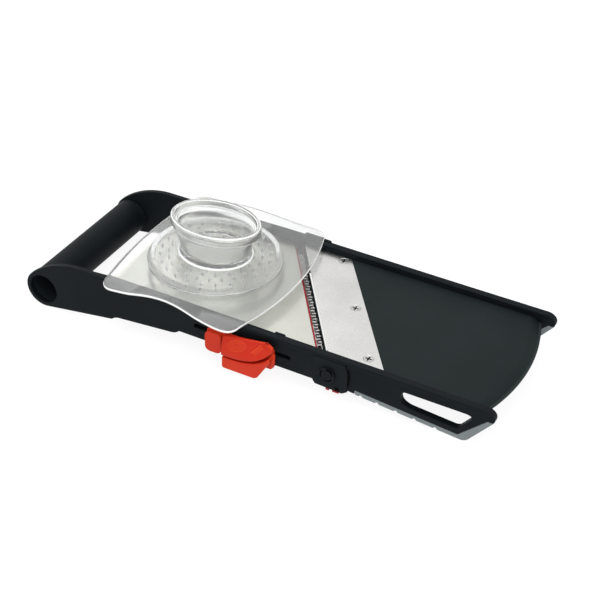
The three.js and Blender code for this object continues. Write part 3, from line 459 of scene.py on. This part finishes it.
def guard_outline():
    """Outline of the guard's plate: bowed ends, waisted sides and round corners."""
    front, back, c = GUARD_FRONT, GUARD_BACK, GUARD_HALF
    waist = c - 4.5
    middle = GUARD_X
    side = [
        *bezier([(front + 6.5, -c + 7.5), (front + 8.5, -c + 2.2), (front + 15, -c + 2)], 8),
        *bezier(
            [(front + 15, -c + 2), (front + 34, -c + 2.4), (middle - 20, -waist), (middle - 3, -waist)], 24),
        *bezier([(middle - 3, -waist), (middle + 14, -waist), (back - 40, -c), (back - 24, -c)], 24),
        *bezier([(back - 24, -c), (back - 13.5, -c), (back - 11.5, -c + 8)], 8),
    ]
    far = [(x, -y) for x, y in reversed(side[1:])]
    end = bezier([(back - 11.5, -c + 8), (back + 11.5, 0), (back - 11.5, c - 8)], 28)
    start = bezier([(front + 6.5, c - 7.5), (front - 6.5, 0), (front + 6.5, -c + 7.5)], 28)
    return side + end + far + start


def guard_rise(x, y):
    """How far the plate stands above its flat CAD place: it curls up at the waist."""
    out = blend_in(50, GUARD_HALF - 4, abs(y))
    wave = math.cos(math.pi * min(1.0, abs(x - GUARD_X + 3) / 56))
    lift = 3.4 * out * max(0.0, wave)
    droop = 1.9 * blend_in(OUTER + 0.8, GUARD_HALF, abs(y)) * max(0.0, -wave)
    return lift - droop


PLATE_THICKNESS = 1.4


def guard_plate():
    """One curved sheet with a rounded bead round its rim and a round opening under the disc."""
    opening = DISC_RADIUS - 3.0
    steps = 14
    bead_steps = 7
    bead = 0.3
    rings = []
    for x, y in guard_outline():
        away = Vector((x - GUARD_X, y, 0))
        out = away.normalized()
        section = []
        for i in range(steps + 1):
            p = (out * opening).lerp(away, i / steps)
            section.append((p.x + GUARD_X, p.y, GUARD_SOLE + guard_rise(p.x + GUARD_X, p.y)))
        top = [(px, py, z + PLATE_THICKNESS) for px, py, z in section]
        rim = []
        for k in range(1, bead_steps + 1):
            a = math.pi * k / (bead_steps + 1) - math.pi / 2
            inset = 0.6 * (math.cos(a) - 1)
            middle = section[-1][2] + PLATE_THICKNESS / 2
            height = (PLATE_THICKNESS / 2 + bead) * math.sin(a)
            rim.append((x + inset * out.x, y + inset * out.y, middle + height))
        rings.append(section[:-1] + rim + top[:-1][::-1])
    shape = bmesh.new()
    # The faces round the rim's bead take the hazy white material as a painted highlight.
    edge = range(steps, steps + bead_steps - 1)
    add_rings(shape, rings, closed_loop=True, second=lambda ring, place: place in edge)
    return finish_piece(
        "guard_plate_clear", shape, "clear_plastic", "guard", "guard_plate",
        sharp=math.radians(60), second=PAINTED_EDGE_HIGHLIGHT)


def guard_dome():
    """Raised round disc and the oval cup on it, moulded in one, hollow below and inside the cup."""
    top = DISC_TOP
    sole = GUARD_SOLE + PLATE_THICKNESS + 0.3
    wall = 2.0
    disc = DISC_RADIUS
    a, b = CUP_HALF_LENGTH, CUP_HALF_WIDTH
    rim = CUP_TOP
    under = rim - 8.2
    foot_a, foot_b = a - 8.4, b - 2.0
    neck_a, neck_b = a - 5.6, b - 1.6
    # half length, half width, height, and whether the faces up to the next ring take the hazy white painted
    # highlight
    rings = [
        (8, 8, top - wall, 0), (24, 24, top - wall, 0), (disc - 6.6, disc - 6.6, top - wall, 0),
        (disc - 5.4, disc - 5.4, top - wall - 0.4, 0), (disc - wall + 0.3, disc - wall + 0.3, sole, 0),
        (disc, disc, sole, 0), (disc, disc, sole + 0.8, 0), (disc - 0.8, disc - 0.8, sole + 1.3, 0),
        (disc - 2.1, disc - 2.1, top - 0.7, 0), (disc - 2.5, disc - 2.5, top - 0.2, 0),
        (disc - 3.1, disc - 3.1, top, 0), (disc - 3.7, disc - 3.7, top, 0), (42, 39, top, 0),
        (foot_a + 2.6, foot_b + 2.9, top, 0), (foot_a + 1.9, foot_b + 2.2, top + 0.1, 1),
        (foot_a + 1.5, foot_b + 1.8, top + 0.9, 1), (foot_a + 0.7, foot_b + 0.9, top + 1.3, 0),
        (foot_a + 0.2, foot_b + 0.2, top + 2.0, 0), (foot_a + 0.2, foot_b, top + 5, 0),
        (neck_a - 0.8, neck_b, under - 6, 0), (neck_a, neck_b + 0.1, under - 2.4, 0),
        (neck_a + 1.2, neck_b + 0.4, under - 0.6, 0), (a - 2.2, b - 0.9, under + 0.1, 0),
        (a - 0.7, b - 0.4, under + 0.4, 1), (a - 0.1, b - 0.1, under + 1.3, 0),
        (a, b, under + 2.4, 0), (a, b, rim - 2.2, 0), (a - 0.3, b - 0.3, rim - 1.0, 1),
        (a - 1.0, b - 1.0, rim - 0.2, 0), (a - 1.7, b - 1.7, rim, 0), (a - 2.6, b - 2.5, rim - 0.2, 1),
        (a - 3.1, b - 3.0, rim - 1.0, 0), (a - 3.4, b - 3.2, rim - 4.2, 0),
        (a - 3.9, b - 3.5, rim - 4.7, 1), (a - 4.9, b - 3.9, rim - 4.9, 0),
        (a - 5.4, b - 4.1, rim - 5.6, 0), (neck_a - 2.0, neck_b - 2.2, under - 2, 0),
        (foot_a - 1.9, foot_b - 2.1, top + 6, 0), (foot_a - 2.5, foot_b - 2.7, top + 3.6, 0),
        (foot_a - 4.2, foot_b - 4.4, top + 2.4, 0), (foot_a - 7.5, foot_b - 7.4, top + 2.1, 0),
        (8, 6, top + 2.1, 0),
    ]
    turn = [2 * math.pi * i / 128 for i in range(128)]
    made = [
        [(GUARD_X + half_x * math.cos(t), half_y * math.sin(t), z) for t in turn]
        for half_x, half_y, z, _ in rings
    ]
    shape = bmesh.new()
    add_rings(shape, made, second=lambda ring, place: rings[ring][3])
    return finish_piece(
        "guard_dome_clear", shape, "clear_plastic", "guard", "guard_spike_disc", "guard_cup",
        sharp=math.radians(50), second=PAINTED_EDGE_HIGHLIGHT, look=DOME_LOOK)


def guard_spikes():
    """Rings of short round-nosed spikes under the disc, with painted highlight on their sides and painted shade on
    their end caps.
    """
    roof = DISC_TOP - 2.0
    section = [  # radius and height, from the root to the tip
        (0.6, roof + 0.4), (1.25, roof + 0.3), (1.15, roof - 1.0), (0.8, roof - 2.6), (0.45, roof - 3.7),
        (0.2, roof - 4.1),
    ]
    turn = [k * math.pi / 5 for k in range(10)]
    shape = bmesh.new()
    for radius, count, shift in [(42, 24, 0), (35.4, 24, 0.5), (28.8, 18, 0), (22, 12, 0.5)]:
        for i in range(count):
            angle = (i + shift) * 2 * math.pi / count
            x, y = GUARD_X + radius * math.cos(angle), radius * math.sin(angle)
            rings = [[(x + r * math.cos(t), y + r * math.sin(t), z) for t in turn] for r, z in section]
            add_rings(shape, rings, second=lambda ring, place: True)
    return finish_piece(
        "guard_spikes_clear", shape, "clear_plastic", "guard", sharp=math.radians(60), second=SPIKE_PAINTED_HIGHLIGHT,
        look=SPIKE_PAINTED_SHADE)


# ------------------------------------------------------------------ slider


LEVER_LOW, LEVER_HIGH = rail_box("slider_lever")


def thumb_point(x, z):
    """A point on the lever's sloping thumb face."""
    top = Vector((LEVER_HIGH.y - 1.6, -3.0))
    bottom = Vector((LEVER_LOW.y, -20.0))
    across = top.lerp(bottom, (z - top.y) / (bottom.y - top.y))
    return Vector((x, across.x, z))


def slider_body():
    """Slider's back plate, rounded end block, grip under the lever, hook and stem."""
    low, high = rail_box("slider_body")
    face = LEVER_HIGH.y + 0.65
    back = face + 2.4
    bottom = high.z - 17.8
    grip_x = LEVER_LOW.x + 0.4
    slit = 2.0
    start_z = LEVER_LOW.z + 0.2 - slit
    lever_curve = bezier([
        (LEVER_LOW.x, start_z), (LEVER_HIGH.x - 10.9, start_z - 1.6),
        (LEVER_HIGH.x - 0.4, start_z + 13.7)], 16)
    shape = bmesh.new()
    plate = rounded_rectangle(low.x, high.x - 1.7, bottom, high.z, 2)
    add_prism(shape, plate, face, back)
    end_block = rounded_rectangle(low.x, low.x + 13.6, bottom, high.z - 0.4, 4.2)
    add_prism(shape, end_block, face - 3.2, face + 0.5)
    grip = [(grip_x, low.z + 1.8)]
    grip += [(grip_x, start_z)] + [(x, z) for x, z in lever_curve if x > grip_x + 1]
    grip += [(high.x - 1.2, -17.6), (high.x - 9.8, low.z + 3.4)]
    grip += bezier([(high.x - 9.8, low.z + 3.4), (high.x - 11.6, low.z), (high.x - 15.2, low.z)], 6)[1:]
    grip += [(grip_x + 1.8, low.z), (grip_x + 0.5, low.z + 0.5)]
    add_prism(shape, grip, low.y, face + 0.5)
    add_block(shape, (low.x + 4, face, bottom), (high.x - 2.7, -OUTER + 3.4, bottom + 2))
    add_block(shape, (high.x - 3, face, bottom + 5), (high.x - 0.2, back, bottom + 14))
    finish_piece("slider_body_finished", shape, "red_plastic", "slider", "slider_body", bevel=0.8, segments=3)
    stem = from_node("slider_body")
    bmesh.ops.bisect_plane(
        stem, geom=stem.verts[:] + stem.edges[:] + stem.faces[:], plane_co=(0, back - 0.1, 0),
        plane_no=(0, 1, 0), clear_inner=True)
    bmesh.ops.contextual_create(stem, geom=[e for e in stem.edges if e.is_boundary])
    finish_piece("slider_stem", stem, "red_plastic", "slider")


def slider_lever():
    """Squeeze lever: softened all round, with oval beads and a ribbed patch on its thumb face."""
    finish_piece(
        "slider_lever_finished", from_node("slider_lever"), "red_plastic", "lever", "slider_lever",
        bevel=0.9, segments=4)
    grips = bmesh.new()
    tilt = math.radians(20)
    middle_x, middle_z = LEVER_LOW.x + 12.2, -12.6
    for half_length, half_height in [(1.8, 0.9), (3.6, 2.0), (5.4, 3.1), (7.2, 4.2)]:
        path = []
        for i in range(40):
            a = 2 * math.pi * i / 40
            along, up = half_length * math.cos(a), half_height * math.sin(a)
            path.append(thumb_point(
                middle_x + along * math.cos(tilt) - up * math.sin(tilt),
                middle_z + along * math.sin(tilt) + up * math.cos(tilt)))
        add_tube(grips, path, 0.3, 6, closed=True)
    foot_of_patch = Vector((LEVER_HIGH.x - 16.4, -14.6))
    run = Vector((7.0, 8.6))
    width = Vector((2.9, -0.6))
    corners = [foot_of_patch, foot_of_patch + run, foot_of_patch + run + width, foot_of_patch + width]
    add_tube(grips, [thumb_point(*corner) for corner in corners], 0.3, 6, closed=True)
    ribs = 7
    for i in range(1, ribs):
        start = foot_of_patch + run * (i / ribs)
        add_tube(grips, [thumb_point(*start), thumb_point(*(start + width))], 0.24, 6)
    finish_piece("slider_lever_grips", grips, "red_plastic", "lever", sharp=math.radians(70))


# ------------------------------------------------------------------ selector


def two_tone(node, slot, second, chosen, bevel=0.2):
    """A CAD node whose chosen faces, picked by their middle point, take a second material."""
    shape = from_node(node)
    for face in shape.faces:
        if chosen(face.calc_center_median()):
            face.material_index = 1
    finish_piece(f"{node}_finished", shape, slot, BODY_OF[node], node, bevel=bevel, segments=2, second=second)


def housing_painted_shade():
    """Painted shade of the curved groove beside the selector's housing and of the notch over the second foot: thin
    near-black inlays on the rail's outer face.
    """
    low, high = rail_box("selector_knob")
    x = (low.x + high.x) / 2
    face = -OUTER
    groove = bmesh.new()
    outer_side = bezier([(x + 14.3, -2.9), (x + 18.4, -10), (x + 16.2, -20.6)], 12) + [(x + 16.2, -20.6)]
    inner_side = bezier([(x + 15.7, -20.6), (x + 16.6, -10), (x + 12.8, -2.9)], 12) + [(x + 12.8, -2.9)]
    add_prism(groove, outer_side + inner_side, face - 0.85, face - 0.3)
    notch = [(x + 6.4, -27.6), (x + 6.2, -24.2), (x + 9.4, -23.6), (x + 9.8, -27.4)]
    add_prism(groove, notch, face - 0.85, face - 0.3)
    finish_piece("housing_painted_shade", groove, "frame_black", "frame", look=PAINTED_SHADE)


def selector_marks():
    """Three-pointed plate round the knob, and the small arrow beside it."""
    low, high = rail_box("selector_knob")
    x, z = (low.x + high.x) / 2, (low.z + high.z) / 2
    face = -OUTER - 0.8
    outline = []
    for i in range(96):
        a = 2 * math.pi * i / 96
        point = abs(math.remainder(a - math.radians(70), 2 * math.pi / 3))
        radius = 6.7 + 1.5 * max(0.0, 1 - point / 0.42)
        outline.append((x + radius * math.cos(a), z + radius * math.sin(a)))
    shape = bmesh.new()
    add_prism(shape, outline, face - 0.34, face - 0.02)
    finish_piece("selector_plate", shape, "mechanism_black", "selector", bevel=0.1)
    arrow = bmesh.new()
    tip_x, tip_z = x - 8.9, z - 5.3
    wedge = [(tip_x, tip_z), (tip_x + 2.6, tip_z - 0.4), (tip_x + 2.0, tip_z + 1.9)]
    add_prism(arrow, wedge, face - 0.3, face + 0.4)
    finish_piece("selector_arrow", arrow, "frame_black", "frame", bevel=0.1)


# ------------------------------------------------------------------ tray, blade and screws


def output_tray():
    """Smooth tray whose round output end rolls over into a deep lip."""
    low, high = rail_box("output_tray")
    back_near, back_far = furthest_x("blade_plate", -1), furthest_x("blade_plate", 1)
    end_radius = 165.5
    centre = high.x - end_radius
    thick = 2.6
    roll, roll_drop = 8.5, 4.4
    lip = 2.4
    sections = []
    rows = 48
    for row in range(rows + 1):
        y = -high.y + 2 * high.y * row / rows
        share = (y + high.y) / (2 * high.y)
        start = back_near + 0.36 + share * (back_far - back_near)
        end = centre + math.sqrt(end_radius ** 2 - y ** 2)
        flat_end = centre + math.sqrt((end_radius - roll) ** 2 - y ** 2)
        top = [(start, high.z)] + [(start + (flat_end - start) * i / 6, high.z) for i in range(1, 7)]
        for i in range(1, 9):
            x = flat_end + (end - flat_end) * i / 8
            top.append((x, high.z - roll_drop * (i / 8) ** 1.6))
        under = [(end, low.z + 3.1), (end - lip, low.z + 3.1), (end - lip, high.z - thick - 0.4)]
        under += [(flat_end, high.z - thick), (start, high.z - thick)]
        sections.append([(x, y, z) for x, z in top + under])
    shape = bmesh.new()
    add_rings(shape, sections)
    for y in (-0.6 * high.y, 0.0, 0.6 * high.y):
        add_block(shape, (294, y - 1, high.z - 6), (352, y + 1, high.z - thick + 0.3))
    return finish_piece(
        "output_tray_finished", shape, "tray_black", "frame", "output_tray", sharp=math.radians(40))


def blade_screw(place):
    """Countersunk screw with painted shade in its cross recess, which is a little wider than the CAD one."""
    node = f"blade_screw_{place}"
    low, high = rail_box(node)
    shape = from_node(node)
    middle = (low + high) / 2
    widen = 1.25
    for vert in shape.verts:
        if math.hypot(vert.co.x - middle.x, vert.co.y - middle.y) < 2.1 and vert.co.z > high.z - 1.5:
            vert.co.x = middle.x + widen * (vert.co.x - middle.x)
            vert.co.y = middle.y + widen * (vert.co.y - middle.y)
    # The faces down in the cross recess take the near-black material as painted shade.
    for face in shape.faces:
        centre = face.calc_center_median()
        away = math.hypot(centre.x - middle.x, centre.y - middle.y)
        if away < 2.6 and low.z + 6 < centre.z < high.z - 0.1:
            face.material_index = 1
    finish_piece(
        f"{node}_finished", shape, "fastener_steel", "frame", node, bevel=0.1, segments=2, second=PAINTED_SHADE)


# ------------------------------------------------------------------ assembly

side_rail(-1)
side_rail(1)
handle()
foot(-1)
foot(1)
guard_plate()
guard_dome()
guard_spikes()
slider_body()
slider_lever()
selector_marks()
housing_painted_shade()
knob_low, knob_high = rail_box("selector_knob")
knob_x, knob_z = (knob_low.x + knob_high.x) / 2, (knob_low.z + knob_high.z) / 2
# Faces on the knob's front between radius 3.9 and 5.4, its groove arcs, take the near-black material as painted
# shade.
two_tone(
    "selector_knob", "mechanism_black", PAINTED_SHADE,
    lambda p: p.y < -OUTER and 3.9 < math.hypot(p.x - knob_x, p.z - knob_z) < 5.4)
# Above this height the coarse comb's carrier is painted black, as painted shade of the gap before the blade.
RED_BELOW_PAINTED_SHADE = 6.5  # height of the red part of the coarse comb's carrier
carrier_low = rail_box("coarse_comb_carrier")[0]
two_tone(
    "coarse_comb_carrier", "carrier_red", LOOKS["mechanism_black"],
    lambda p: p.z > carrier_low.z + RED_BELOW_PAINTED_SHADE)
output_tray()
for place in ("far", "middle", "near"):
    blade_screw(place)

for node, slot, bevel in [
    ("front_cross_beam", "mechanism_black", 0.4),
    ("blade_bed", "mechanism_black", 0.2),
    ("blade_plate", "blade_steel", 0.0),
    ("runway_plate", "runway_steel", 0.12),
    ("runway_carrier", "mechanism_black", 0.3),
    ("lift_rod_front", "fastener_steel", 0.3),
    ("lift_rod_rear", "fastener_steel", 0.3),
    ("near_cam_bar", "mechanism_black", 0.25),
    ("far_cam_bar", "mechanism_black", 0.25),
    ("cam_cross_link", "mechanism_black", 0.25),
    ("lever_pin", "fastener_steel", 0.15),
    ("fine_comb", "blade_steel", 0.06),
    ("coarse_comb", "blade_steel", 0.06),
    ("fine_comb_carrier", "carrier_red", 0.2),
    ("selector_cam", "mechanism_black", 0.2),
    ("selector_clip", "fastener_steel", 0.1),
    ("detent_spring", "fastener_steel", 0.05),
]:
    dressed_node(node, slot, bevel)

# ------------------------------------------------------------------ stage, light and camera


def stage_floor():
    """Plain pale floor."""
    bpy.ops.mesh.primitive_plane_add(size=12.0)
    floor = bpy.context.object
    floor.name = "floor"
    made, tree, shader, place = material("floor paper")
    pale = tint(tree, noise(tree, place, 3.0), (0.12, 0.12, 0.12), (0.13, 0.13, 0.13))
    tree.links.new(pale, shader.inputs["Base Color"])
    shader.inputs["Emission Color"].default_value = (1, 1, 1, 1)
    shader.inputs["Emission Strength"].default_value = 0.9
    shader.inputs["Roughness"].default_value = 0.9
    shader.inputs["Specular IOR Level"].default_value = 0.1
    floor.data.materials.append(made)


def studio_light():
    """Even white surroundings with two large soft boxes overhead."""
    world = bpy.data.worlds.new("studio")
    bpy.context.scene.world = world
    world.use_nodes = True
    sky = world.node_tree.nodes["Background"]
    sky.inputs["Color"].default_value = (1.0, 1.0, 1.0, 1)
    sky.inputs["Strength"].default_value = 0.92
    for name, place, size, power in [
        ("key", (0.5, -0.7, 1.5), 1.6, 14.0),
        ("fill", (-0.9, 0.5, 1.3), 1.4, 8.0),
    ]:
        lamp = bpy.data.lights.new(name, "AREA")
        lamp.size = size
        lamp.energy = power
        holder = bpy.data.objects.new(name, lamp)
        bpy.context.scene.collection.objects.link(holder)
        holder.location = place
        holder.rotation_mode = "QUATERNION"
        holder.rotation_quaternion = (-Vector(place)).to_track_quat("-Z", "Y")


def set_camera():
    """Long lens, seen from the near side above the output end."""
    azimuth, elevation = math.radians(27.445), math.radians(34.857)
    target = Vector((0.01505, -0.00514, 0.030))
    distance = 1.00831
    back = Vector((
        math.sin(azimuth) * math.cos(elevation), -math.cos(azimuth) * math.cos(elevation),
        math.sin(elevation),
    ))
    data = bpy.data.cameras.new("camera")
    data.lens = 82.01
    data.sensor_width = 36.0
    camera = bpy.data.objects.new("camera", data)
    bpy.context.scene.collection.objects.link(camera)
    camera.location = target + back * distance
    camera.rotation_mode = "QUATERNION"
    camera.rotation_quaternion = (-back).to_track_quat("-Z", "Y")
    bpy.context.scene.camera = camera


stage_floor()
studio_light()
set_camera()
bpy.context.scene.view_settings.view_transform = "Standard"
